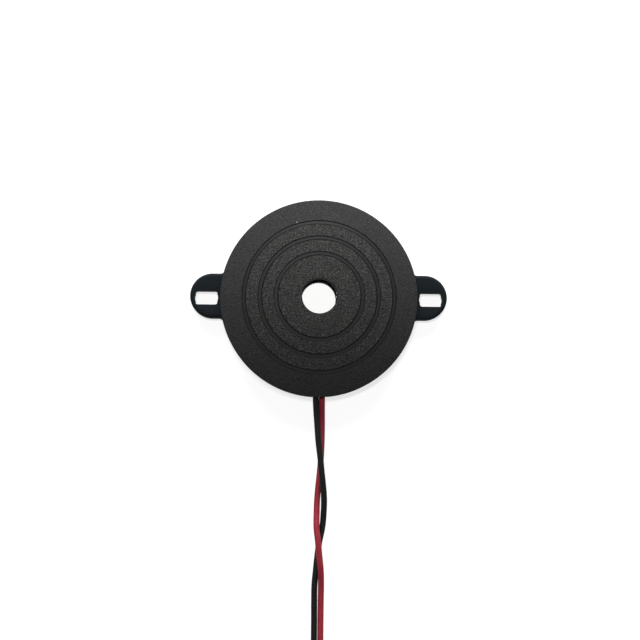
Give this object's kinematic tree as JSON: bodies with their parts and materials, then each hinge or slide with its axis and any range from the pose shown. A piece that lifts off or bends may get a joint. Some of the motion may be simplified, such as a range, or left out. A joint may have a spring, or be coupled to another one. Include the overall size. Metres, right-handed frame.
{
  "type": "piezo buzzer",
  "caption": "Round black piezo buzzer with a shallow domed front, ring grooves around a central sound hole, slotted mounting ears and a twisted pair of red and black leads.",
  "frame": {"origin": "centre of the back plane, which the buzzer lies on", "axes": "+Z out of the domed front, X along the line through both ears, -Y towards the leads"},
  "size_m": [0.055, 0.116, 0.0089],
  "materials": {
    "case_plastic": "spark-eroded charcoal black moulding with smooth ears",
    "cover_plastic": "smooth black moulding",
    "plate_metal": "bright rolled nickel alloy",
    "ceramic": "fired piezo ceramic",
    "silver": "fired silver paste",
    "silicone": "cured silicone adhesive",
    "board": "paper laminate",
    "part_black": "black moulded electronic parts",
    "ferrite": "dark grey ferrite",
    "enamelled_copper": "enamelled copper winding",
    "solder": "bright solder and tinned strands",
    "wire_black": "thin black insulation",
    "wire_red": "thin red insulation",
    "wire_blue": "thin blue insulation",
    "lead_red": "satin red PVC insulation",
    "lead_black": "satin black PVC insulation"
  },
  "bodies": {
    "root": {"housing": "case_plastic", "back_cover": "cover_plastic", "diaphragm_plate": "plate_metal", "piezo_ceramic": "ceramic", "main_electrode": "silver", "feedback_electrode": "silver", "adhesive_ring": "silicone", "circuit_board": "board", "transistor": "part_black", "base_resistor": "part_black", "collector_resistor": "part_black", "diode": "part_black", "choke_core": "ferrite", "choke_winding": "enamelled_copper", "board_solder": "solder", "element_solder": "solder", "ground_wire": "wire_black", "drive_wire": "wire_red", "feedback_wire": "wire_blue", "red_lead": "lead_red", "black_lead": "lead_black", "red_lead_strands": "solder", "black_lead_strands": "solder", "red_lead_tip": "solder", "black_lead_tip": "solder"}
  },
  "joints": []
}
